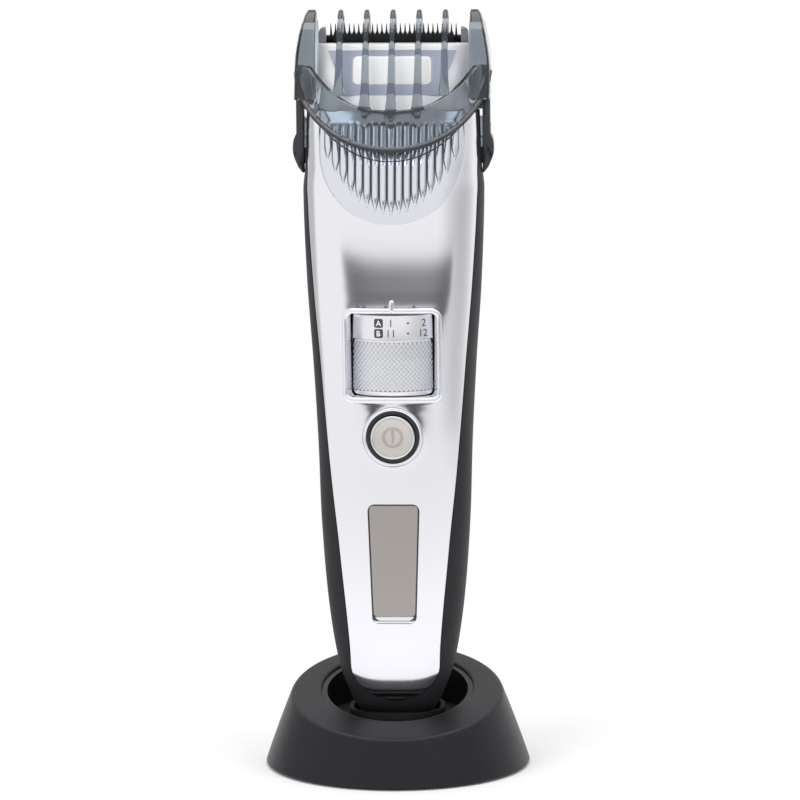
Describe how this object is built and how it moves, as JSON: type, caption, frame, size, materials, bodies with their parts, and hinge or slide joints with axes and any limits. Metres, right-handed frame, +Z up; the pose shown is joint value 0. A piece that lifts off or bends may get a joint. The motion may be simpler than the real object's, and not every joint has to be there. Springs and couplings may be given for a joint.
{
  "type": "hair clipper",
  "caption": "Cordless hair clipper with a toothed blade block, clip-on comb set by a dial, push switch and display, upright in a round charging stand.",
  "frame": {"origin": "centre of the stand's base on the surface it stands on", "axes": "+Z up along the upright clipper, -Y towards the user, out of the dial and the switch, +X to the right seen from there"},
  "size_m": [0.0696, 0.0696, 0.1979],
  "materials": {
    "stand_plastic": "satin moulded black plastic",
    "cup_plastic": "moulded black plastic",
    "foot_rubber": "moulded rubber",
    "screw_steel": "zinc plated",
    "contact_metal": "plated contact",
    "circuit_laminate": "glass laminate with solder mask",
    "grip_rubber": "finely textured elastomer over plastic",
    "panel_silver": "glossy silver paint over plastic",
    "cover_silver": "silver paint over fluted plastic",
    "frame_plastic": "moulded grey plastic",
    "seal_rubber": "soft black silicone",
    "chrome_trim": "chromed plastic",
    "display_face": "satin metallised plastic",
    "lamp_plastic": "cast lamp body",
    "battery_sleeve": "shrink sleeve over a steel can",
    "motor_steel": "stamped steel",
    "coil_copper": "enamelled copper winding",
    "wheel_silver": "satin silver paint on knurled plastic",
    "cam_plastic": "natural acetal",
    "button_satin": "satin metallised plastic",
    "block_white": "glossy white plastic",
    "label_white": "plain white film",
    "blade_steel": "ground stainless steel",
    "blade_black": "black coated steel",
    "comb_smoke": "clear blue-grey moulded plastic"
  },
  "bodies": {
    "stand": {"stand_shell": "stand_plastic", "stand_cup": "cup_plastic", "stand_base_plate": "stand_plastic", "stand_feet": "foot_rubber", "stand_screws": "screw_steel", "stand_contacts": "contact_metal", "stand_socket": "stand_plastic", "stand_socket_contact": "contact_metal", "stand_circuit": "circuit_laminate"},
    "handle": {"rear_housing": "grip_rubber", "end_cap": "grip_rubber", "front_panel": "panel_silver", "fluted_cover": "cover_silver", "inner_frame": "frame_plastic", "head_frame": "frame_plastic", "head_seal": "seal_rubber", "housing_screws": "screw_steel", "charge_terminals": "contact_metal", "dial_frame": "chrome_trim", "dial_hub": "frame_plastic", "display_bezel": "chrome_trim", "display_window": "display_face", "status_lamps": "lamp_plastic", "button_ring": "chrome_trim", "button_seal": "seal_rubber", "circuit_board": "circuit_laminate", "tact_switch": "frame_plastic", "battery": "battery_sleeve", "battery_tabs": "screw_steel", "motor_frame": "motor_steel", "motor_coil": "coil_copper", "motor_springs": "screw_steel", "blade_housing": "block_white", "label_plate": "label_white", "fixed_blade": "blade_steel", "blade_guards": "frame_plastic", "blade_spring": "screw_steel"},
    "dial": {"dial_wheel": "wheel_silver", "cam_sleeve": "cam_plastic"},
    "carriage": {"comb_carriage": "frame_plastic", "cam_follower": "screw_steel"},
    "comb": {"comb_frame": "comb_smoke", "comb_tines": "comb_smoke"},
    "button": {"power_button": "button_satin"},
    "armature": {"motor_armature": "motor_steel", "drive_pin": "screw_steel"},
    "cutter": {"moving_blade": "blade_black", "blade_yoke": "frame_plastic"}
  },
  "joints": [
    {"name": "lift_off", "type": "slide", "parent": "stand", "child": "handle", "axis": [0, 0, 1], "range_m": [0, 0.04]},
    {"name": "dial_turn", "type": "hinge", "parent": "handle", "child": "dial", "pos_m": [0, -0.00319, 0.1102], "axis": [0, 0, -1], "range_deg": [0, 324]},
    {"name": "comb_setting", "type": "slide", "parent": "handle", "child": "carriage", "axis": [0, 0, 1], "range_m": [0, 0.009]},
    {"name": "comb_pull", "type": "slide", "parent": "carriage", "child": "comb", "axis": [0, 0, 1], "range_m": [0, 0.04]},
    {"name": "button_press", "type": "slide", "parent": "handle", "child": "button", "axis": [0, 0.9994, 0.0359], "range_m": [0, 0.0009], "stiffness_N_per_m": 1500, "springref_m": -0.0004},
    {"name": "motor_stroke", "type": "slide", "parent": "handle", "child": "armature", "axis": [1, 0, 0], "range_m": [-0.001, 0.001], "stiffness_N_per_m": 2000},
    {"name": "blade_stroke", "type": "slide", "parent": "handle", "child": "cutter", "axis": [1, 0, 0], "range_m": [-0.001, 0.001]}
  ],
  "couplings": [
    {"joint": "comb_setting", "follows": "dial_turn", "m_per_rad": 0.0015915},
    {"joint": "blade_stroke", "follows": "motor_stroke", "ratio": 1}
  ]
}
